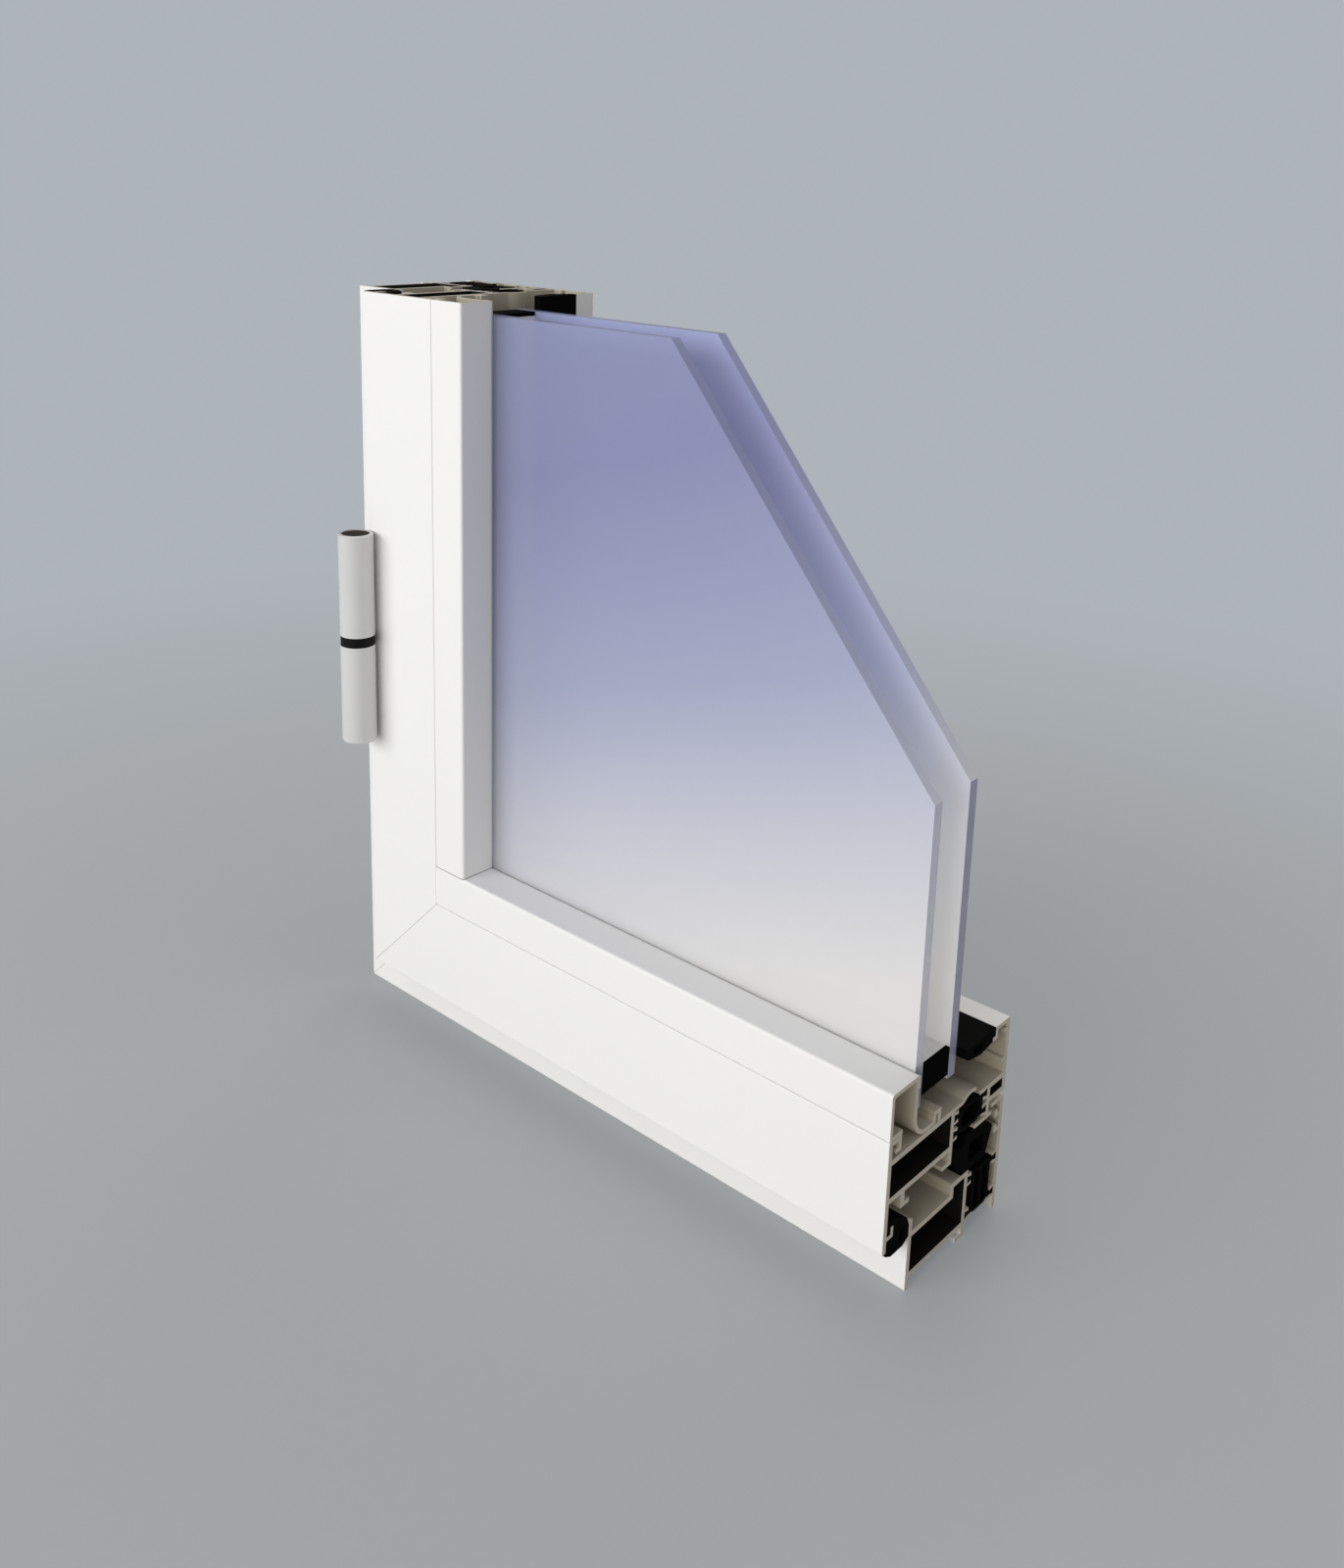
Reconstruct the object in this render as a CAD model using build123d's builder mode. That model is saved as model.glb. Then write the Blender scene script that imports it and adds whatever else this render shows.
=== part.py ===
"""Corner sample of a thermally broken aluminium tilt and turn window, cut open to show its section.

Axes: X runs right along the sill, Y from the room to the outside, Z up. Pieces are drawn from the
lower outer corner of the frame, level with the room face of the sash, and handed in about the centre
of the base. A section is drawn as depth, which is Y, and rise, the distance from the frame's outer
edge: Z on the sill and X on the jamb.
"""
import os

from build123d import *

os.makedirs("parts", exist_ok=True)

# Sample
sample_length = 262.0
sample_height = 285.0
sash_depth = 68.0
wall = 1.8
thin_wall = 1.4
edge_radius = 0.5
seat_gap = 0.2

# Frame
frame_setback = 14.2
frame_leg = 3.9
frame_chamber_ceiling = 18.4
frame_step_depth = 39.8
frame_step_ceiling = 22.3
frame_back = 48.3
frame_lip_rise = 25.0
frame_foot_reach = 5.0
frame_outer_rise = 41.8
frame_outer_lip_reach = 7.5
frame_rib_rises = (29.5, 35.0)
frame_rib_reach = 2.8
frame_chamber_floor = frame_leg + wall

# Sash
sash_edge = 20.8
sash_seam = 58.6
sash_chamber_floor = 39.3
sash_chamber_ceiling = 50.4
sash_back = 36.8
sash_outer_rise = 69.8
sash_outer_bottom = 43.4
sash_web = 56.6
sash_pocket_floor = 50.4
sash_foot_near = 50.2
sash_foot_far = 60.6
sash_foot_rise = 37.9
sash_rebate = sash_chamber_ceiling + wall
sash_underside = sash_chamber_floor - wall

# Arch of the sash over its thermal break
arch_start = 40.6
arch_foot_radius = 3.5
arch_crown_radius = 6.5
arch_climb = 35
arch_fall = 60

# Hardware groove under the sash
groove_lip_rise = 32.4
groove_stem = 9.4
groove_mouth_near = 13.0
groove_mouth_far = 31.6

# Bead and its clip
bead_top = 74.3
bead_depth = 14.2
bead_hook_depth = 22.6
bead_curve_radius = 6.8
bead_corner_radius = 1.0
ledge_reach = 4.9
ledge_drop = 1.5
toe_drop = 5.0
catch_depth = 26.8
catch_rise = 57.0
catch_lip_reach = 2.3

# Thermal breaks
pad_depth = 2.3
pad_height = 4.2
foot_root = 2.8
foot_neck = 1.6
frame_strip_rises = (7.0, 20.0)
sash_strip_rises = (42.2, 48.1)
break_wall = 1.3
break_bulge = 1.5

# Glazing
pane_thickness = 4.0
inner_pane_depth = 14.9
outer_pane_depth = 36.9
pane_rise = 60.5
sealant_rise = 62.0
spacer_rise = 65.5
spacer_height = 6.0
spacer_wall = 0.8
end_plug = 1.5
pane_top = 280.0
inner_pane_side = 260.0
outer_pane_side = 258.4
cut_top = 156.0
cut_side = 158.5

# Gaskets
gasket_wall = 1.5
overlap_gasket_low = 18.0
overlap_gasket_high = 31.2
overlap_shoulder = 27.0
flange_hook_rise = 24.8
flange_hook_reach = 3.4
flange_hook_height = 3.8
lip_depth = 59.0
lip_drop = 4.4
lip_curl = 1.6
glazing_gasket_low = 64.2
glazing_gasket_heel = 66.8
bead_gasket_height = 4.5
flap_high = 37.9
flap_low = 33.6
seal_neck = 44.8
seal_foot = 44.0
seal_heel = 58.5
seal_back = 62.0

# Setting block
block_start = 95.0
block_length = 60.0
block_leg_near = 29.5

# Corner cleats
cleat_arm = 62.0
cleat_gap = 0.4
cleat_pocket = 14.0
cleat_pocket_depth = 5.0

# Hinge
barrel_radius = 6.5
barrel_gap = 0.3
barrel_inset = 2.1
barrel_low = 117.0
barrel_high = 197.4
washer_thickness = 3.8
washer_middle = 156.7
pin_radius = 3.8
cap_radius = 5.2
cap_height = 2.0
cap_recess = 0.3
leaf_thickness = 2.4
leaf_inset = 5.0
web_thickness = 3.0
hinge_fit = 0.05
hinge_across = sash_edge + barrel_inset
hinge_depth = -barrel_gap - barrel_radius
washer_low = washer_middle - washer_thickness / 2
washer_high = washer_middle + washer_thickness / 2
cap_low = barrel_high - cap_recess - cap_height
leaf_far = groove_stem - wall / 2
web_far = sash_edge - barrel_gap
web_near = web_far - web_thickness

SILL = Plane(origin=(0, 0, 0), x_dir=(0, 1, 0), z_dir=(1, 0, 0))
JAMB = Plane(origin=(0, 0, sample_height), x_dir=(0, 1, 0), z_dir=(0, 0, -1))
MITRE = Plane(origin=(0, 0, 0), x_dir=(0, 1, 0), z_dir=(1, 0, -1))
BASE_CENTRE = Location((-sample_length / 2, -(sash_depth + hinge_depth - barrel_radius) / 2, 0))
UPWARD = (Align.CENTER, Align.CENTER, Align.MIN)


def hand_in(solid, name):
    """Moves one sub-part to the shared frame and writes it as a STEP file under its node name."""
    placed = solid.moved(BASE_CENTRE)
    placed.label = name
    export_step(placed, f"parts/{name}.step")


def bar(near, low, far, high, mode=Mode.ADD):
    """A straight stretch of wall in a section, given by its depths and rises."""
    with Locations(((near + far) / 2, (low + high) / 2)):
        Rectangle(far - near, high - low, mode=mode)


def soften(section, depth, rise, radius):
    """Rounds the corner of a section that lies nearest to a place."""
    fillet(section.vertices().sort_by_distance((depth, rise, 0))[0], radius)


def extrude_along(section, upright, start, mitred):
    """Runs a section along the jamb or the sill, from a start near the corner to the cut end."""
    length = (sample_height if upright else sample_length) - start
    with BuildPart() as member:
        with BuildSketch(JAMB if upright else SILL.offset(start)):
            add(section)
        extrude(amount=length)
        if mitred:
            split(bisect_by=MITRE, keep=Keep.BOTTOM if upright else Keep.TOP)
    return member.part


def hand_in_pair(section, sill_name, jamb_name):
    """The level and the upright member that share a section and meet at the mitre."""
    hand_in(extrude_along(section, False, 0, True), sill_name)
    hand_in(extrude_along(section, True, 0, True), jamb_name)


def dovetail(face, rise, into, mode):
    """One foot of a thermal break, widening from the mouth of its pocket to the shell's wall."""
    mouth = face + into * pad_depth
    with BuildLine() as outline:
        Polyline(
            (mouth, rise - foot_neck / 2),
            (mouth, rise + foot_neck / 2),
            (face, rise + foot_root / 2),
            (face, rise - foot_root / 2),
            close=True,
        )
    make_face(outline.edges(), mode=mode)


def pocket_pads(face, into, rises):
    """The pads on a shell's wall, each with the pocket that holds a foot."""
    for rise in rises:
        near, far = sorted((face, face + into * pad_depth))
        bar(near, rise - pad_height / 2, far, rise + pad_height / 2)
        dovetail(face, rise, into, Mode.SUBTRACT)


def strips(near_face, far_face, rises):
    """The two strips of a thermal break with their dovetail feet."""
    with BuildSketch() as pair:
        for rise in rises:
            bar(near_face, rise - foot_neck / 2, far_face, rise + foot_neck / 2)
            dovetail(near_face, rise, 1, Mode.ADD)
            dovetail(far_face, rise, -1, Mode.ADD)
    return pair.sketch


def frame_break_section():
    """Thermal break of the frame: strips joined by a body with two chambers."""
    far_face = sash_depth - wall
    near = frame_back + pad_depth + break_wall
    far = far_face - pad_depth - break_wall
    low = frame_strip_rises[0] - break_bulge
    high = frame_strip_rises[1] + break_bulge
    chamber = (far - near - 3 * break_wall) / 2
    with BuildSketch() as section:
        add(strips(frame_back, far_face, frame_strip_rises))
        with Locations(((near + far) / 2, (low + high) / 2)):
            RectangleRounded(far - near, high - low, 2 * break_wall)
        for start in (near + break_wall, far - break_wall - chamber):
            bar(start, low + break_wall, start + chamber, high - break_wall, Mode.SUBTRACT)
    return section.sketch


def sash_break_section():
    """Thermal break of the sash: strips joined by a hollow body with round ends."""
    near = sash_back + pad_depth + seat_gap
    far = sash_web - pad_depth - seat_gap
    low, high = sash_strip_rises
    height = high - low + 2 * break_bulge
    with BuildSketch() as section:
        add(strips(sash_back, sash_web, sash_strip_rises))
        with Locations(((near + far) / 2, (low + high) / 2)):
            SlotOverall(far - near, height)
            SlotOverall(far - near - 3 * break_wall, height - 2 * break_wall, mode=Mode.SUBTRACT)
    return section.sketch


def frame_inner_section():
    """Room-side shell of the frame: a stepped chamber between two legs."""
    inside = frame_back - wall
    with BuildSketch() as section:
        bar(frame_setback, 0, frame_setback + wall, frame_lip_rise)
        bar(frame_setback, frame_leg, frame_back, frame_chamber_ceiling + wall)
        bar(frame_step_depth - wall, frame_leg, frame_back, frame_step_ceiling + wall)
        bar(inside, 0, frame_back, frame_leg)
        bar(frame_back - frame_foot_reach, 0, frame_back, thin_wall)
        soften(section, frame_setback, 0, edge_radius)
        soften(section, frame_setback, frame_lip_rise, edge_radius)
        soften(section, frame_setback + wall, frame_lip_rise, edge_radius)
        soften(section, frame_step_depth - wall, frame_step_ceiling + wall, 2 * edge_radius)
        bar(frame_setback + wall, frame_chamber_floor, inside, frame_chamber_ceiling, Mode.SUBTRACT)
        bar(frame_step_depth, frame_chamber_floor, inside, frame_step_ceiling, Mode.SUBTRACT)
        pocket_pads(frame_back, 1, frame_strip_rises)
    return section.sketch


def frame_outer_section():
    """Weather-side shell of the frame: one wall with a lip and two ribs under the sash."""
    inside = sash_depth - wall
    rib_near = inside - frame_rib_reach
    with BuildSketch() as section:
        bar(inside, 0, sash_depth, frame_outer_rise)
        bar(sash_depth - frame_outer_lip_reach, frame_outer_rise - thin_wall, inside, frame_outer_rise)
        soften(section, sash_depth, frame_outer_rise, edge_radius)
        soften(section, sash_depth, 0, edge_radius)
        for rise in frame_rib_rises:
            bar(rib_near, rise, inside, rise + thin_wall)
            bar(rib_near, rise, rib_near + thin_wall, rise + 2 * thin_wall)
        pocket_pads(inside, -1, frame_strip_rises)
    return section.sketch


def flange_hook():
    """Hook on the back of the overlap flange that carries the overlap gasket."""
    reach = wall + flange_hook_reach
    with BuildSketch() as hook:
        bar(wall, flange_hook_rise, reach, flange_hook_rise + thin_wall)
        bar(reach - thin_wall, flange_hook_rise, reach, flange_hook_rise + flange_hook_height)
    return hook.sketch


def sash_inner_section():
    """Room-side shell of the sash: chamber, overlap flange, hardware groove, bead clip and arch."""
    inside = sash_back - wall
    stem_near = groove_stem - wall / 2
    middle = sash_rebate - thin_wall / 2
    with BuildSketch() as section:
        bar(0, sash_edge, wall, sash_seam)
        bar(0, sash_underside, sash_back, sash_rebate)
        bar(wall, sash_seam - ledge_drop, ledge_reach, sash_seam)
        soften(section, 0, sash_edge, edge_radius)
        soften(section, 0, sash_seam, edge_radius)
        bar(wall, sash_chamber_floor, inside, sash_chamber_ceiling, Mode.SUBTRACT)
        bar(stem_near, groove_lip_rise, groove_stem + wall / 2, sash_underside)
        bar(stem_near, groove_lip_rise, groove_mouth_near, groove_lip_rise + thin_wall)
        bar(inside, groove_lip_rise, sash_back, sash_underside)
        bar(groove_mouth_far, groove_lip_rise, sash_back, groove_lip_rise + thin_wall)
        bar(catch_depth, sash_rebate, catch_depth + thin_wall, catch_rise)
        bar(catch_depth - catch_lip_reach, catch_rise - thin_wall, catch_depth, catch_rise)
        soften(section, catch_depth + thin_wall, catch_rise, edge_radius)
        with BuildLine() as arch:
            run = Line((inside, middle), (arch_start, middle))
            climb = JernArc(run @ 1, run % 1, arch_foot_radius, arch_climb)
            JernArc(climb @ 1, climb % 1, arch_crown_radius, -arch_fall)
        trace(arch.edges(), line_width=thin_wall)
        add(flange_hook())
        pocket_pads(sash_back, 1, sash_strip_rises)
    return section.sketch


def sash_outer_section():
    """Weather-side shell of the sash: small chamber, web, outer wall and glazing flange."""
    inside = sash_depth - wall
    lip_low = sash_outer_rise - lip_drop
    rib_low = sash_pocket_floor + lip_drop
    with BuildSketch() as section:
        bar(inside, sash_outer_bottom, sash_depth, sash_outer_rise)
        bar(lip_depth, sash_outer_rise - thin_wall, sash_depth, sash_outer_rise)
        bar(lip_depth, lip_low, lip_depth + thin_wall, sash_outer_rise)
        soften(section, sash_depth, sash_outer_rise, edge_radius)
        soften(section, lip_depth, sash_outer_rise, edge_radius)
        bar(lip_depth - lip_curl, lip_low, lip_depth, lip_low + thin_wall)
        bar(inside - lip_curl, lip_low, inside, lip_low + thin_wall)
        bar(inside - lip_curl, rib_low, inside, rib_low + thin_wall)
        bar(sash_web, sash_outer_bottom, sash_depth, sash_pocket_floor)
        bar(sash_web + wall, sash_outer_bottom + wall, inside, sash_pocket_floor - wall, Mode.SUBTRACT)
        soften(section, sash_depth, sash_outer_bottom, edge_radius)
        bar(sash_web - lip_drop, sash_pocket_floor - thin_wall, sash_web, sash_pocket_floor)
        bar(sash_web, sash_foot_rise, sash_web + wall, sash_outer_bottom)
        bar(sash_foot_near, sash_foot_rise, sash_foot_far, sash_foot_rise + thin_wall)
        pocket_pads(sash_web, -1, sash_strip_rises)
    return section.sketch


def bead_section():
    """Snap-in bead: front wall with a toe behind the sash's ledge, and a curved leg under the pane."""
    leg_low = sash_rebate + seat_gap
    foot = sash_seam + seat_gap
    toe = ledge_reach + seat_gap
    toe_low = sash_seam - toe_drop
    middle = bead_depth - thin_wall / 2
    bottom = leg_low + thin_wall / 2
    with BuildSketch() as section:
        bar(0, foot, thin_wall, bead_top)
        bar(0, bead_top - thin_wall, bead_depth, bead_top)
        bar(0, foot, toe + thin_wall, foot + thin_wall)
        soften(section, 0, bead_top, bead_corner_radius)
        soften(section, bead_depth, bead_top, edge_radius)
        soften(section, 0, foot, edge_radius)
        bar(toe, toe_low, toe + thin_wall, foot)
        bar(toe - thin_wall, toe_low, toe, toe_low + thin_wall)
        with BuildLine() as leg:
            down = Line((middle, bead_top - thin_wall), (middle, bottom + bead_curve_radius))
            turn = RadiusArc(down @ 1, (middle + bead_curve_radius, bottom), -bead_curve_radius)
            Line(turn @ 1, (bead_hook_depth + thin_wall, bottom))
        trace(leg.edges(), line_width=thin_wall)
        bar(bead_hook_depth + thin_wall, leg_low, bead_hook_depth + 2 * thin_wall, catch_rise - thin_wall)
    return section.sketch


def overlap_gasket_section():
    """Hollow seal between the sash flange and the room face of the frame, held by the flange's hook."""
    with BuildSketch() as section:
        with BuildLine() as outline:
            Polyline(
                (wall, overlap_gasket_low + gasket_wall),
                (wall, overlap_gasket_high),
                (wall + 2 * gasket_wall, overlap_gasket_high),
                (frame_setback - gasket_wall, overlap_shoulder),
                (frame_setback, frame_lip_rise - gasket_wall),
                (frame_setback, overlap_gasket_low + gasket_wall),
                (frame_setback - 2 * gasket_wall, overlap_gasket_low),
                (wall + 2 * gasket_wall, overlap_gasket_low),
                close=True,
            )
        make_face(outline.edges())
        fillet(section.vertices(), edge_radius)
        with Locations((frame_setback - 2.6 * gasket_wall, overlap_shoulder - 3.2 * gasket_wall)):
            RectangleRounded(2 * gasket_wall, 3 * gasket_wall, gasket_wall / 2, mode=Mode.SUBTRACT)
        add(flange_hook(), mode=Mode.SUBTRACT)
    return section.sketch


def glazing_gasket_section():
    """Seal between the outer pane and the lip of the sash's flange, with one chamber."""
    near = outer_pane_depth + pane_thickness
    middle = (near + lip_depth) / 2
    curl_low = sash_outer_rise - lip_drop
    curl_near = lip_depth - lip_curl
    with BuildSketch() as section:
        with BuildLine() as outline:
            Polyline(
                (near, glazing_gasket_heel),
                (near, sash_outer_rise),
                (lip_depth, sash_outer_rise),
                (lip_depth, curl_low + thin_wall),
                (curl_near, curl_low + thin_wall),
                (curl_near, curl_low),
                (middle, glazing_gasket_low),
                (near + gasket_wall, glazing_gasket_low + gasket_wall),
                close=True,
            )
        make_face(outline.edges())
        soften(section, near, sash_outer_rise, edge_radius)
        soften(section, middle, glazing_gasket_low, 2 * gasket_wall)
        with Locations((middle - gasket_wall, (sash_outer_rise + glazing_gasket_low) / 2)):
            RectangleRounded(4 * gasket_wall, 1.6 * gasket_wall, gasket_wall / 2, mode=Mode.SUBTRACT)
    return section.sketch


def bead_gasket_section():
    """Wedge between the bead and the inner pane."""
    with BuildSketch() as section:
        bar(bead_depth, bead_top - bead_gasket_height, inner_pane_depth, bead_top - edge_radius)
    return section.sketch


def central_gasket_section():
    """Middle seal on the frame: a chambered neck up to the sash's foot and a flap on its back wall."""
    base = frame_step_ceiling + wall
    with BuildSketch() as section:
        with BuildLine() as outline:
            Polyline(
                (seal_foot, base),
                (sash_back, flap_low),
                (sash_back, flap_high),
                (seal_neck, flap_low),
                (seal_neck, sash_foot_rise),
                (sash_web, sash_foot_rise),
                (seal_back, flap_low),
                (seal_heel, base),
                close=True,
            )
        make_face(outline.edges())
        soften(section, seal_back, flap_low, gasket_wall)
        soften(section, seal_neck, flap_low, gasket_wall)
        bar(seal_neck + 2 * gasket_wall, base + 2 * gasket_wall, sash_web, flap_low, Mode.SUBTRACT)
    return section.sketch


def make_pane(depth, side, name):
    """A pane with its free corner cut off."""
    with BuildPart() as pane:
        with BuildSketch(Plane.XZ.offset(-depth - pane_thickness)):
            with BuildLine():
                Polyline(
                    (pane_rise, pane_rise),
                    (side, pane_rise),
                    (side, cut_side),
                    (cut_top, pane_top),
                    (pane_rise, pane_top),
                    close=True,
                )
            make_face()
        extrude(amount=pane_thickness)
    hand_in(pane.part, name)


def corner_strip(low, high, short=0):
    """Outline of a strip that runs down the stile and along the rail, and may stop short of both ends."""
    with BuildSketch() as outline:
        bar(low, low, outer_pane_side - short, pane_top - short)
        bar(high, high, outer_pane_side, pane_top, Mode.SUBTRACT)
    return outline.sketch


def make_spacer():
    """Hollow spacer bar between the panes, short of the cut ends by the plugs of sealant."""
    width = outer_pane_depth - inner_pane_depth - pane_thickness
    inner_rise = spacer_rise + spacer_wall
    outer_rise = spacer_rise + spacer_height
    with BuildPart() as spacer:
        with BuildSketch(Plane.XZ.offset(-outer_pane_depth)):
            add(corner_strip(spacer_rise, outer_rise, end_plug))
        extrude(amount=width)
        with BuildSketch(Plane.XZ.offset(-outer_pane_depth + spacer_wall)):
            add(corner_strip(inner_rise, outer_rise - spacer_wall, end_plug))
        extrude(amount=width - 2 * spacer_wall, mode=Mode.SUBTRACT)
    hand_in(spacer.part, "spacer_bar")


def make_sealant():
    """Edge seal behind the spacer bar, with a plug at each of the bar's open ends."""
    with BuildPart() as sealant:
        with BuildSketch(Plane.XZ.offset(-outer_pane_depth)):
            add(corner_strip(sealant_rise, spacer_rise + spacer_height))
            add(corner_strip(spacer_rise, spacer_rise + spacer_height, end_plug), mode=Mode.SUBTRACT)
        extrude(amount=outer_pane_depth - inner_pane_depth - pane_thickness)
    hand_in(sealant.part, "edge_sealant")


def make_cleat(near, far, low, high, name):
    """Corner block that ties the mitre together inside a chamber, with two pockets in each arm."""
    inner_low = low + cleat_gap
    inner_high = high - cleat_gap
    end = low + cleat_arm
    with BuildPart() as cleat:
        with BuildSketch(Plane.XZ.offset(-far + cleat_gap)):
            bar(inner_low, inner_low, end, inner_high)
            bar(inner_low, inner_low, inner_high, end)
        extrude(amount=far - near - 2 * cleat_gap)
        with BuildSketch(Plane.XZ.offset(-near - cleat_gap)):
            for start in (high + cleat_pocket / 2, high + 2 * cleat_pocket):
                bar(start, inner_low + wall, start + cleat_pocket, inner_high - wall)
                bar(inner_low + wall, start, inner_high - wall, start + cleat_pocket)
        extrude(amount=-cleat_pocket_depth, mode=Mode.SUBTRACT)
        for end_face in (cleat.faces().sort_by(Axis.X)[-1], cleat.faces().sort_by(Axis.Z)[-1]):
            chamfer(end_face.edges().filter_by(Axis.Y), 2 * edge_radius)
    hand_in(cleat.part, name)


def barrel(low, high):
    """The round body of one knuckle, bored for the pin."""
    with Locations((hinge_across, hinge_depth, low)):
        Cylinder(barrel_radius, high - low, align=UPWARD)
        Cylinder(pin_radius + hinge_fit, high - low, align=UPWARD, mode=Mode.SUBTRACT)


def make_frame_knuckle():
    """Lower knuckle on a web that turns into a leaf on the frame's room face."""
    with BuildPart() as knuckle:
        with BuildSketch(Plane.XY.offset(barrel_low + leaf_inset)):
            bar(web_near, hinge_depth, web_far, frame_setback)
            bar(wall, frame_setback - leaf_thickness, web_far, frame_setback)
        extrude(amount=washer_low - barrel_low - 2 * leaf_inset)
        barrel(barrel_low, washer_low)
        chamfer(knuckle.faces().sort_by(Axis.Z)[0].outer_wire().edges(), edge_radius)
    hand_in(knuckle.part, "hinge_frame_knuckle")


def make_sash_knuckle():
    """Upper knuckle on a web that turns into a leaf behind the flange, as far as the groove's stem."""
    with BuildPart() as knuckle:
        with BuildSketch(Plane.XY.offset(washer_high + leaf_inset)):
            bar(web_near, hinge_depth, web_far, leaf_far)
            bar(web_near, leaf_far - leaf_thickness, sash_underside, leaf_far)
        extrude(amount=barrel_high - washer_high - 2 * leaf_inset)
        barrel(washer_high, barrel_high)
        with Locations((hinge_across, hinge_depth, cap_low)):
            Cylinder(cap_radius, barrel_high - cap_low, align=UPWARD, mode=Mode.SUBTRACT)
        chamfer(knuckle.faces().sort_by(Axis.Z)[-1].outer_wire().edges(), edge_radius)
    hand_in(knuckle.part, "hinge_sash_knuckle")


def make_round(radius, bore, low, high, name):
    """A round piece on the hinge's axis, bored where it turns on the pin."""
    with BuildPart() as piece:
        with Locations((hinge_across, hinge_depth, low)):
            Cylinder(radius, high - low, align=UPWARD)
            if bore:
                Cylinder(bore, high - low, align=UPWARD, mode=Mode.SUBTRACT)
    hand_in(piece.part, name)


def make_stile_gasket():
    """Overlap seal of the stile, cut away where the hinge's webs and its sash leaf pass."""
    with BuildPart() as gasket:
        add(extrude_along(overlap_gasket_section(), True, 0, True))
        for low, high in ((barrel_low, washer_low), (washer_high, barrel_high)):
            notch_low = low + leaf_inset - seat_gap
            notch_high = high - leaf_inset + seat_gap
            with BuildSketch(Plane.XY.offset(notch_low)):
                bar(web_near, 0, web_far + seat_gap, frame_setback)
                if low == washer_high:
                    leaf_near = leaf_far - leaf_thickness - seat_gap
                    bar(web_near, leaf_near, overlap_gasket_high + wall, leaf_far + seat_gap)
            extrude(amount=notch_high - notch_low, mode=Mode.SUBTRACT)
    hand_in(gasket.part, "overlap_gasket_stile")


def make_block():
    """Setting block: a plate under both panes on a leg that stands in the rebate."""
    plate_low = catch_rise + seat_gap
    with BuildPart() as block:
        with BuildSketch(SILL.offset(block_start)):
            bar(inner_pane_depth, plate_low, outer_pane_depth + pane_thickness, pane_rise)
            bar(block_leg_near, sash_rebate, sash_back, plate_low)
        extrude(amount=block_length)
    hand_in(block.part, "setting_block")


hand_in_pair(frame_inner_section(), "frame_sill_inner_shell", "frame_jamb_inner_shell")
hand_in_pair(frame_outer_section(), "frame_sill_outer_shell", "frame_jamb_outer_shell")
hand_in_pair(frame_break_section(), "frame_sill_break", "frame_jamb_break")
hand_in_pair(sash_inner_section(), "sash_rail_inner_shell", "sash_stile_inner_shell")
hand_in_pair(sash_outer_section(), "sash_rail_outer_shell", "sash_stile_outer_shell")
hand_in_pair(sash_break_section(), "sash_rail_break", "sash_stile_break")
hand_in_pair(central_gasket_section(), "central_gasket_sill", "central_gasket_jamb")
hand_in_pair(glazing_gasket_section(), "glazing_gasket_rail", "glazing_gasket_stile")
hand_in(extrude_along(overlap_gasket_section(), False, 0, True), "overlap_gasket_rail")
make_stile_gasket()
hand_in(extrude_along(bead_section(), False, sash_seam + seat_gap, False), "bead_level")
hand_in(extrude_along(bead_section(), True, bead_top, False), "bead_upright")
wedge_start = bead_top - bead_gasket_height
hand_in(extrude_along(bead_gasket_section(), False, wedge_start, False), "bead_gasket_level")
hand_in(extrude_along(bead_gasket_section(), True, bead_top, False), "bead_gasket_upright")
make_pane(inner_pane_depth, inner_pane_side, "inner_pane")
make_pane(outer_pane_depth, outer_pane_side, "outer_pane")
make_spacer()
make_sealant()
make_block()
make_cleat(frame_setback + wall, frame_step_depth - wall, frame_chamber_floor, frame_chamber_ceiling,
           "frame_corner_cleat")
make_cleat(wall, sash_back - wall, sash_chamber_floor, sash_chamber_ceiling, "sash_corner_cleat")
make_frame_knuckle()
make_sash_knuckle()
make_round(barrel_radius - seat_gap, pin_radius + hinge_fit, washer_low, washer_high, "hinge_washer")
make_round(pin_radius, 0, barrel_low, cap_low, "hinge_pin")
make_round(cap_radius, 0, cap_low, barrel_high - cap_recess, "hinge_cap")
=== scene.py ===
import bpy
from mathutils import Matrix, Vector


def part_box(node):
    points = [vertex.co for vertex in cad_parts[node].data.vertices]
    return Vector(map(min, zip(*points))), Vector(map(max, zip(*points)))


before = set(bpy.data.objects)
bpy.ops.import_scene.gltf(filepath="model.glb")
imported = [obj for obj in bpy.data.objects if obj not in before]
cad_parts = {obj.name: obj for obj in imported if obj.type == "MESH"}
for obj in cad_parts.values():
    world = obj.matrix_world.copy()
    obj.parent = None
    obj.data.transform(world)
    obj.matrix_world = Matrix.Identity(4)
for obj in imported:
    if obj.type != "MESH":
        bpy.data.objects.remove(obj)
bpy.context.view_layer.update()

# Camera, fitted to the photograph's vanishing points
EYE = Vector((0.329379, -0.355237, 0.331735))
RIGHT = Vector((0.745643, 0.665775, 0.027579))
FORWARD = Vector((-0.643237, 0.729973, -0.231052))
FOCAL_PIXELS = 1520.28
IMAGE_HEIGHT = 1600
PRINCIPAL_ROW = 530
SENSOR_WIDTH = 36
NEAREST_SEEN = 0.01


def around(place, before, past):
    """A band that starts a little before a place and ends a little past it."""
    return place - before, place + past


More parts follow.
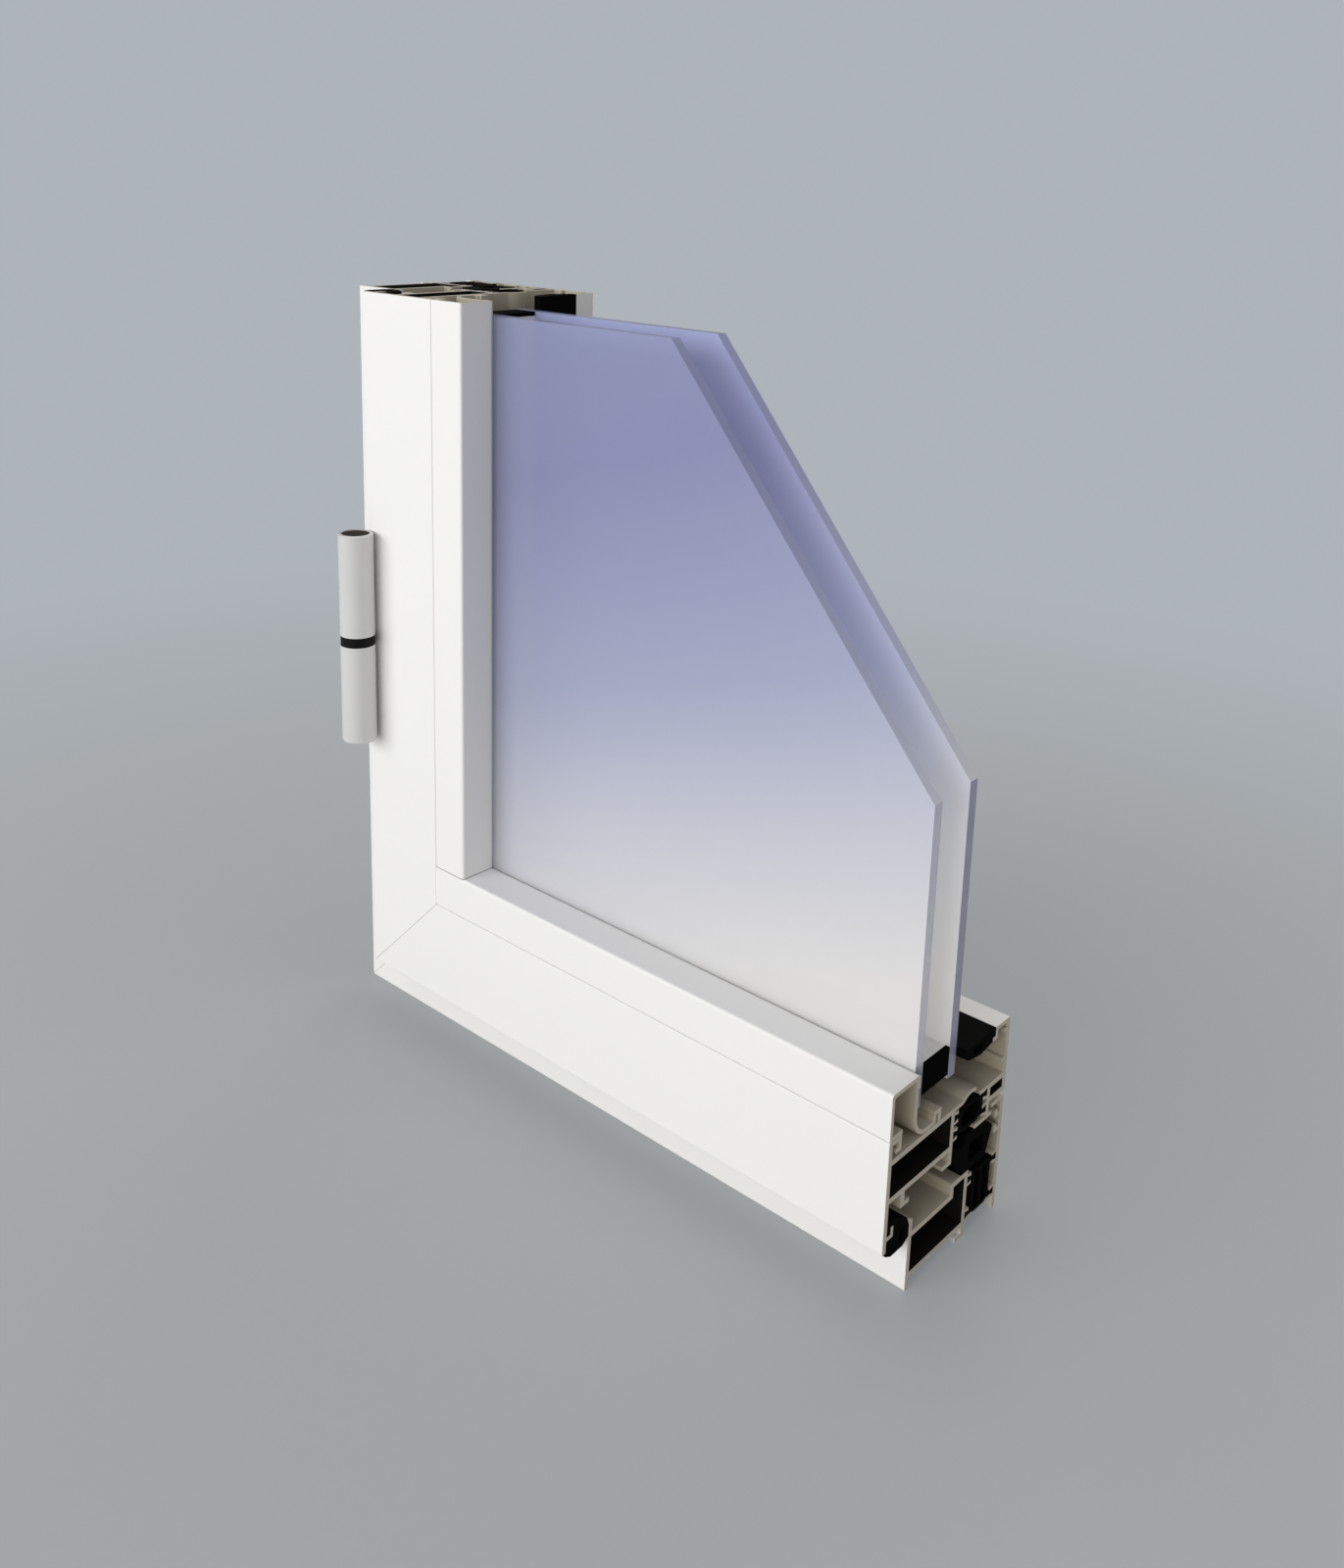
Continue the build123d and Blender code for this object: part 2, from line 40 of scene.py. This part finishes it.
# Sample, read from the frame. Its corner is at the jamb's outer edge, the sash's face and the sill's foot
FRAME_LOW, FRAME_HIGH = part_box("frame_sill_inner_shell")
JAMB_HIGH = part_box("frame_jamb_inner_shell")[1]
SASH_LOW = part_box("sash_rail_inner_shell")[0]
OUTER_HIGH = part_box("sash_rail_outer_shell")[1]
BEAD_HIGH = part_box("bead_level")[1]
CORNER = Vector((FRAME_LOW.x, SASH_LOW.y, FRAME_LOW.z))
SAMPLE_LENGTH = FRAME_HIGH.x - CORNER.x
SAMPLE_HEIGHT = JAMB_HIGH.z - CORNER.z
FRAME_DEPTH = FRAME_LOW.y - CORNER.y
OUTER_DEPTH = OUTER_HIGH.y - CORNER.y
OUTER_RISE = OUTER_HIGH.z - CORNER.z
BEAD_RISE = BEAD_HIGH.z - CORNER.z

# Painted bands and lines, which reach a little past the faces and edges that they follow. The coat stays
# bright on the faces' bands, above the crowns and below the foot; elsewhere it gets painted shade
SASH_FACE = around(0.0, before=0.0010, past=0.0012)
FRAME_FACE = around(FRAME_DEPTH, before=0.0003, past=0.0008)
OUTER_FACE = around(OUTER_DEPTH, before=0.0008, past=0.0010)
BEAD_JOINT = around(BEAD_RISE, before=0.0001, past=0.00025)
BEAD_CROWN = BEAD_RISE - 0.0012
OUTER_CROWN = OUTER_RISE - 0.0010
CUT_SKIN = 0.00006
MITRE_HALF = 0.00014

# Height of the legs under the frame's chambers, below which the coat stays bright instead of painted shade
FRAME_FOOT = 0.0044

# Chambers painted near-black as shade: nearest and furthest depth, lowest and highest rise
INNER_CHAMBERS = [
    (0.0017, 0.0351, 0.0392, 0.0505),
    (0.0159, 0.0466, 0.0056, 0.0185),
    (0.0397, 0.0466, 0.0183, 0.0224),
]
OUTER_CHAMBERS = [(0.0583, 0.0663, 0.0451, 0.0487)]

# Members: whether they stand upright, and the ends of their nodes' names for frame, sash and bead
MEMBERS = [(False, "sill", "rail", "level"), (True, "jamb", "stile", "upright")]

# Colours of the room and weather sides, of the painted shade on what is out of view, of sawn metal, of the
# chambers' painted shade and of the lines between pieces, and the palest that a scaled colour gets
WHITE = (0.87, 0.87, 0.87)
WEATHER = (0.84, 0.825, 0.80)
HIDDEN_SHADE = (0.56, 0.515, 0.42)
SAWN = (0.72, 0.66, 0.57)
CHAMBER_SHADE = (0.012, 0.011, 0.010)
SEAM = (0.40, 0.38, 0.35)
JOINT = (0.22, 0.19, 0.15)
PALEST = 0.98

# Coats: their colour, the face in view, the rises below and above which they also show, and their chambers
COATS = {
    "frame": dict(paint=WHITE, face=FRAME_FACE, foot=FRAME_FOOT, chambers=INNER_CHAMBERS),
    "sash": dict(paint=WHITE, face=SASH_FACE, chambers=INNER_CHAMBERS),
    "outer": dict(paint=WEATHER, face=OUTER_FACE, foot=FRAME_FOOT, crown=OUTER_CROWN,
                  chambers=OUTER_CHAMBERS),
    "bead": dict(paint=WHITE, face=SASH_FACE, crown=BEAD_CROWN, mitred=False),
}

# Noise patterns: scale, detail and, for the saw's marks, stretch
CLOUDS = (14, 3)
DUST = (90, 4)
GRAIN = (750, 2)
SAW_MARKS = (260, 2, (9, 1, 1))
RIM_GRIT = (140, 3)

# Share of its colour that each pattern leaves at its darkest
CLOUDS_LEAVE = 0.985
DUST_LEAVES = 0.85
SAW_LEAVES = 0.84

# Finish of the coated shells, whose dust and sawn ends are rougher
SHELL_FINISH = dict(Metallic=0.0, Specular_IOR_Level=0.2, Coat_Weight=0.05, Coat_Roughness=0.2)
SHELL_ROUGHNESS = (0.36, 0.50)
DUST_ROUGHENS = 0.2
GRAIN_STRENGTH = 0.1
BUMP_HEIGHT = 0.0001

# Glass tint with a painted reflection that pales it towards the foot, along a slope that rises with height
# and falls with width
REFLECTION_FALL = 0.3
REFLECTION_REACH = 0.24
TINT_AND_REFLECTION = [
    (0.0, (0.98, 0.98, 0.98)),
    (0.10, (0.96, 0.955, 0.96)),
    (0.28, (0.75, 0.768, 0.870)),
    (0.50, (0.515, 0.548, 0.735)),
    (0.71, (0.415, 0.437, 0.655)),
    (0.82, (0.365, 0.380, 0.615)),
    (1.0, (0.355, 0.390, 0.610)),
]
RIM_TONES = ((0.36, 0.37, 0.56), (0.50, 0.51, 0.70))
GLASS_FINISH = dict(Roughness=0.14, IOR=1.5, Specular_IOR_Level=0.3)

# Panes: node, how opaque each of its faces is, and its painted light gain, which lightens the outer pane's
# tint to make up for the inner pane's shadow and darkens the inner one a little
PANES = [("inner_pane", 0.50, 0.96), ("outer_pane", 0.85, 1.25)]

# Small parts: material, its two tones, its finish, and the nodes that wear it
SMALL_PARTS = [
    ("black_polyamide", (0.002, 0.0018, 0.0015), (0.006, 0.005, 0.004),
     dict(rough=0.8, scale=90, gloss=0.03),
     ["frame_sill_break", "frame_jamb_break", "sash_rail_break", "sash_stile_break", "setting_block"]),
    ("black_rubber", (0.0015, 0.0015, 0.0015), (0.004, 0.0035, 0.003),
     dict(rough=0.85, scale=70, gloss=0.03),
     ["central_gasket_sill", "central_gasket_jamb", "glazing_gasket_rail", "glazing_gasket_stile",
      "overlap_gasket_rail", "overlap_gasket_stile"]),
    ("grey_rubber", (0.58, 0.58, 0.57), (0.66, 0.66, 0.65),
     dict(rough=0.55, scale=80),
     ["bead_gasket_level", "bead_gasket_upright"]),
    ("pale_spacer", (0.74, 0.74, 0.73), (0.80, 0.80, 0.79),
     dict(rough=0.42, scale=60),
     ["spacer_bar"]),
    ("black_sealant", (0.0015, 0.0015, 0.0015), (0.003, 0.003, 0.003),
     dict(rough=0.85, scale=50, gloss=0.02),
     ["edge_sealant"]),
    ("bare_aluminium", (0.55, 0.54, 0.52), (0.66, 0.65, 0.63),
     dict(rough=0.38, scale=160, metallic=0.8, stretch=(1, 1, 12)),
     ["frame_corner_cleat", "sash_corner_cleat"]),
    ("white_hinge", (0.63, 0.63, 0.63), (0.67, 0.67, 0.67),
     dict(rough=0.2, scale=30, strength=0.03, gloss=1.0),
     ["hinge_frame_knuckle", "hinge_sash_knuckle"]),
    ("black_washer", (0.002, 0.002, 0.002), (0.005, 0.005, 0.005),
     dict(rough=0.5, scale=120, gloss=0.12),
     ["hinge_washer"]),
    ("dark_cap", (0.026, 0.022, 0.019), (0.070, 0.060, 0.052),
     dict(rough=0.8, scale=120, gloss=0.02),
     ["hinge_cap"]),
    ("steel_pin", (0.30, 0.30, 0.31), (0.40, 0.40, 0.41),
     dict(rough=0.35, scale=150, metallic=1.0, stretch=(1, 1, 10)),
     ["hinge_pin"]),
]

# Small parts' tones and bumps: their detail, how much finer the bumps are, and how roughness varies
TONE_DETAIL = 3
BUMP_DETAIL = 2
BUMP_FINER = 6
ROUGHNESS_SWING = 0.06

# Floor, and the glow that fades it into the backdrop with the distance from the sample
FLOOR = (0.45, 0.45, 0.44)
FLOOR_ROUGHNESS = 0.9
FLOOR_REACH = 8
BACKDROP = (0.42, 0.455, 0.49)
GLOW_DISTANCE = (0.15, 0.75)
GLOW_SHARE = (0.35, 1.0)

# Soft lamps: name, place, width, height, power and colour, all aimed at one point of the sample
AIM = (0, 0, 0.14)
LAMPS = [
    ("key", (-0.3, -1.75, 0.62), 2.3, 1.05, 28.5, (1, 1, 1)),
    ("fill", (1.0, -1.3, 0.45), 0.8, 0.7, 2.3, (1.0, 0.92, 0.80)),
    ("top", (0.1, 0.1, 1.6), 1.0, 1.0, 2.3, (1, 1, 1)),
    ("back", (-0.5, 1.7, 0.65), 1.2, 1.2, 11, (1, 1, 1)),
]

# Even light from all round
AMBIENT = (1.0, 0.985, 0.96)
AMBIENT_STRENGTH = 0.30

# Places of the two colour inputs and the colour result among the Mix node's sockets
MIX_INPUTS = (6, 7)
MIX_RESULT = 2


def aim_camera():
    """The camera at the photograph's place, with its lens and shift."""
    data = bpy.data.cameras.new("view")
    camera = bpy.data.objects.new("view", data)
    bpy.context.scene.collection.objects.link(camera)
    turn = Matrix((RIGHT, RIGHT.cross(FORWARD), -FORWARD)).transposed().to_4x4()
    camera.matrix_world = Matrix.Translation(EYE) @ turn
    data.sensor_fit = "AUTO"
    data.sensor_width = SENSOR_WIDTH
    data.lens = FOCAL_PIXELS / IMAGE_HEIGHT * SENSOR_WIDTH
    data.shift_y = (PRINCIPAL_ROW - IMAGE_HEIGHT / 2) / IMAGE_HEIGHT
    data.clip_start = NEAREST_SEEN
    bpy.context.scene.camera = camera


def scaled(color, factor):
    """The colour made darker or lighter, with none of its parts above PALEST."""
    return tuple(min(PALEST, factor * part) for part in color)


class Graph:
    """A material's node tree, built with short calls."""

    def __init__(self, name):
        self.material = bpy.data.materials.new(name)
        self.material.use_nodes = True
        self.tree = self.material.node_tree
        self.shader = self.tree.nodes["Principled BSDF"]
        self.output = self.tree.nodes["Material Output"]
        self.place = self.add("ShaderNodeTexCoord").outputs["Object"]

    def add(self, kind, **settings):
        node = self.tree.nodes.new(kind)
        for key, value in settings.items():
            setattr(node, key, value)
        return node

    def link(self, source, target):
        self.tree.links.new(source, target)

    def set(self, **values):
        """Constants on the shader's own sockets, with an underscore for each space in a name."""
        for key, value in values.items():
            self.shader.inputs[key.replace("_", " ")].default_value = value

    def math(self, operation, first, second=0.0):
        node = self.add("ShaderNodeMath", operation=operation)
        for socket, value in zip(node.inputs, (first, second)):
            if isinstance(value, (int, float)):
                socket.default_value = value
            else:
                self.link(value, socket)
        return node.outputs[0]

    def axes(self):
        """Distances from the sample's corner: across, in depth and up."""
        shift = self.add("ShaderNodeVectorMath", operation="SUBTRACT")
        shift.inputs[1].default_value = CORNER
        self.link(self.place, shift.inputs[0])
        split = self.add("ShaderNodeSeparateXYZ")
        self.link(shift.outputs[0], split.inputs[0])
        return split.outputs

    def between(self, value, low, high):
        above = self.math("GREATER_THAN", value, low)
        below = self.math("LESS_THAN", value, high)
        return self.math("MULTIPLY", above, below)

    def noise(self, scale, detail, stretch=(1, 1, 1)):
        mapping = self.add("ShaderNodeMapping")
        mapping.inputs["Scale"].default_value = stretch
        self.link(self.place, mapping.inputs["Vector"])
        node = self.add("ShaderNodeTexNoise")
        node.inputs["Scale"].default_value = scale
        node.inputs["Detail"].default_value = detail
        self.link(mapping.outputs[0], node.inputs["Vector"])
        return node.outputs["Fac"]

    def spread(self, value, low, high, start=0.0, end=1.0):
        """The value's run from start to end, turned into one from low to high."""
        node = self.add("ShaderNodeMapRange")
        self.link(value, node.inputs["Value"])
        node.inputs["From Min"].default_value = start
        node.inputs["From Max"].default_value = end
        node.inputs["To Min"].default_value = low
        node.inputs["To Max"].default_value = high
        return node.outputs[0]

    def ramp(self, value, stops):
        node = self.add("ShaderNodeValToRGB")
        elements = node.color_ramp.elements
        while len(elements) < len(stops):
            elements.new(0.5)  # moved to its own place below
        for element, (position, color) in zip(elements, stops):
            element.position = position
            element.color = (*color, 1)
        self.link(value, node.inputs[0])
        return node.outputs[0]

    def mix(self, factor, first, second):
        node = self.add("ShaderNodeMix", data_type="RGBA")
        self.link(factor, node.inputs["Factor"])
        for place, value in zip(MIX_INPUTS, (first, second)):
            if isinstance(value, tuple):
                node.inputs[place].default_value = (*value, 1)
            else:
                self.link(value, node.inputs[place])
        return node.outputs[MIX_RESULT]

    def bump(self, height, strength):
        node = self.add("ShaderNodeBump")
        node.inputs["Strength"].default_value = strength
        node.inputs["Distance"].default_value = BUMP_HEIGHT
        self.link(height, node.inputs["Height"])
        self.link(node.outputs[0], self.shader.inputs["Normal"])

    def color(self, socket):
        self.link(socket, self.shader.inputs["Base Color"])

    def rough(self, socket):
        self.link(socket, self.shader.inputs["Roughness"])


def shell_material(name, upright, paint, face, foot=0.0, crown=1.0, chambers=(), mitred=True):
    """A coated extrusion: bright faces in view, painted shade on hidden faces and chambers, and a sawn
    end.
    """
    graph = Graph(name)
    across, depth, up = graph.axes()
    rise = across if upright else up
    dust = graph.noise(*DUST)

    bright = graph.mix(graph.noise(*CLOUDS), scaled(paint, CLOUDS_LEAVE), paint)
    # Faces out of view get painted shade; faces in view, below the foot and above the crown keep the
    # bright coat
    back = graph.mix(dust, scaled(HIDDEN_SHADE, DUST_LEAVES), HIDDEN_SHADE)
    below = graph.math("LESS_THAN", rise, foot)
    above = graph.math("GREATER_THAN", rise, crown)
    in_view = graph.math("MAXIMUM", graph.between(depth, *face), graph.math("MAXIMUM", below, above))
    coat = graph.mix(in_view, back, bright)

    if mitred:
        from_mitre = graph.math("ABSOLUTE", graph.math("SUBTRACT", across, up))
        coat = graph.mix(graph.math("LESS_THAN", from_mitre, MITRE_HALF), coat, SEAM)
    elif upright:
        coat = graph.mix(graph.between(up, *BEAD_JOINT), coat, JOINT)
    # Painted shade: the chambers' inner faces are painted near-black
    for near, far, low, high in chambers:
        hollow_shade = graph.math("MULTIPLY", graph.between(depth, near, far), graph.between(rise, low, high))
        coat = graph.mix(hollow_shade, coat, CHAMBER_SHADE)

    along, length = (up, SAMPLE_HEIGHT) if upright else (across, SAMPLE_LENGTH)
    cut = graph.math("GREATER_THAN", along, length - CUT_SKIN)
    metal = graph.mix(graph.noise(*SAW_MARKS), scaled(SAWN, SAW_LEAVES), SAWN)
    graph.color(graph.mix(cut, coat, metal))
    dusty = graph.math("MULTIPLY", dust, DUST_ROUGHENS)
    graph.rough(graph.spread(graph.math("ADD", cut, dusty), *SHELL_ROUGHNESS))
    graph.bump(graph.noise(*GRAIN), GRAIN_STRENGTH)
    graph.set(**SHELL_FINISH)
    return graph.material


def plain_material(name, low, high, rough, scale, metallic=0.0, stretch=(1, 1, 1), strength=0.2,
                   gloss=0.5):
    """A colour that varies a little between two values, with a fine bump."""
    graph = Graph(name)
    tone = graph.noise(scale, TONE_DETAIL, stretch)
    graph.color(graph.mix(tone, low, high))
    graph.rough(graph.spread(tone, rough - ROUGHNESS_SWING, rough + ROUGHNESS_SWING))
    graph.bump(graph.noise(scale * BUMP_FINER, BUMP_DETAIL, stretch), strength)
    graph.set(Metallic=metallic, Specular_IOR_Level=gloss)
    return graph.material


def glass_material(node, opacity, painted_light_gain):
    """Pane with a lavender tint and a painted reflection that pales it nearly to white towards its foot.
    """
    graph = Graph(f"glass_{node}")
    across, _, up = graph.axes()
    # Painted reflection: the lavender tint pales to nearly white towards the foot along this slope
    slope = graph.math("SUBTRACT", up, graph.math("MULTIPLY", across, REFLECTION_FALL))
    # Painted light: the tint scaled by the pane's gain, which lightens the outer pane where the inner one
    # shades it
    stops = [(place, scaled(color, painted_light_gain)) for place, color in TINT_AND_REFLECTION]
    tint_and_reflection = graph.ramp(graph.spread(slope, 0, 1, end=REFLECTION_REACH), stops)
    sawn_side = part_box(node)[1].x - CORNER.x
    rim = graph.math("GREATER_THAN", across, sawn_side - CUT_SKIN)
    edge = graph.mix(graph.noise(*RIM_GRIT), *RIM_TONES)
    graph.color(graph.mix(rim, tint_and_reflection, edge))
    graph.set(Alpha=opacity, **GLASS_FINISH)
    return graph.material


def assign(material, *names):
    """Gives every listed node this material on all its slots."""
    for name in names:
        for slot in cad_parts[name].material_slots:
            slot.material = material


def finish_shells():
    """White shells and beads on the room side, and slightly warmer shells on the weather side."""
    for upright, frame_end, sash_end, bead_end in MEMBERS:
        inner = shell_material(f"coated_frame_{frame_end}", upright, **COATS["frame"])
        assign(inner, f"frame_{frame_end}_inner_shell")
        sash = shell_material(f"coated_sash_{sash_end}", upright, **COATS["sash"])
        assign(sash, f"sash_{sash_end}_inner_shell")
        outer = shell_material(f"coated_weather_{bead_end}", upright, **COATS["outer"])
        assign(outer, f"frame_{frame_end}_outer_shell", f"sash_{sash_end}_outer_shell")
        bead = shell_material(f"coated_bead_{bead_end}", upright, **COATS["bead"])
        assign(bead, f"bead_{bead_end}")


def finish_small_parts():
    """Breaks, gaskets, spacer, sealant, cleats and the hinge, then the two panes."""
    for name, low, high, settings, nodes in SMALL_PARTS:
        assign(plain_material(name, low, high, **settings), *nodes)
    for node, opacity, painted_light_gain in PANES:
        assign(glass_material(node, opacity, painted_light_gain), node)


def stage_floor():
    """A pale floor that shows the part's shadow and melts into the backdrop further out."""
    corners = [(-FLOOR_REACH, -FLOOR_REACH, 0), (FLOOR_REACH, -FLOOR_REACH, 0),
               (FLOOR_REACH, FLOOR_REACH, 0), (-FLOOR_REACH, FLOOR_REACH, 0)]
    mesh = bpy.data.meshes.new("floor")
    mesh.from_pydata(corners, [], [(0, 1, 2, 3)])
    floor = bpy.data.objects.new("floor", mesh)
    bpy.context.scene.collection.objects.link(floor)

    graph = Graph("pale_floor")
    graph.set(Base_Color=(*FLOOR, 1), Roughness=FLOOR_ROUGHNESS)
    glow = graph.add("ShaderNodeEmission")
    glow.inputs["Color"].default_value = (*BACKDROP, 1)
    distance = graph.add("ShaderNodeVectorMath", operation="LENGTH")
    graph.link(graph.place, distance.inputs[0])
    share = graph.spread(distance.outputs["Value"], *GLOW_SHARE, *GLOW_DISTANCE)
    path = graph.add("ShaderNodeLightPath")
    seen = graph.math("MAXIMUM", path.outputs["Is Camera Ray"], path.outputs["Is Glossy Ray"])
    seen = graph.math("MAXIMUM", seen, path.outputs["Is Transmission Ray"])
    blend = graph.add("ShaderNodeMixShader")
    graph.link(graph.math("MULTIPLY", share, seen), blend.inputs[0])
    graph.link(graph.shader.outputs[0], blend.inputs[1])
    graph.link(glow.outputs[0], blend.inputs[2])
    graph.link(blend.outputs[0], graph.output.inputs["Surface"])
    mesh.materials.append(graph.material)


def soft_lamp(name, place, width, height, power, color):
    """A soft light that looks at the sample."""
    data = bpy.data.lights.new(name, "AREA")
    data.shape = "RECTANGLE"
    data.size = width
    data.size_y = height
    data.energy = power
    data.color = color
    lamp = bpy.data.objects.new(name, data)
    bpy.context.scene.collection.objects.link(lamp)
    lamp.location = place
    direction = Vector(AIM) - Vector(place)
    lamp.rotation_euler = direction.to_track_quat("-Z", "Y").to_euler()


def light_world():
    """Even studio light all round, with the backdrop's grey-blue behind the part."""
    world = bpy.data.worlds.new("studio")
    bpy.context.scene.world = world
    world.use_nodes = True
    tree = world.node_tree
    tree.nodes.clear()
    output = tree.nodes.new("ShaderNodeOutputWorld")
    blend = tree.nodes.new("ShaderNodeMixShader")
    ambient = tree.nodes.new("ShaderNodeBackground")
    ambient.inputs["Color"].default_value = (*AMBIENT, 1)
    ambient.inputs["Strength"].default_value = AMBIENT_STRENGTH
    backdrop = tree.nodes.new("ShaderNodeBackground")
    backdrop.inputs["Color"].default_value = (*BACKDROP, 1)
    path = tree.nodes.new("ShaderNodeLightPath")
    seen = tree.nodes.new("ShaderNodeMath")
    seen.operation = "MAXIMUM"
    tree.links.new(path.outputs["Is Camera Ray"], seen.inputs[0])
    tree.links.new(path.outputs["Is Transmission Ray"], seen.inputs[1])
    tree.links.new(seen.outputs[0], blend.inputs[0])
    tree.links.new(ambient.outputs[0], blend.inputs[1])
    tree.links.new(backdrop.outputs[0], blend.inputs[2])
    tree.links.new(blend.outputs[0], output.inputs[0])


aim_camera()
finish_shells()
finish_small_parts()
stage_floor()
for lamp_settings in LAMPS:
    soft_lamp(*lamp_settings)
light_world()
bpy.context.scene.view_settings.view_transform = "Standard"
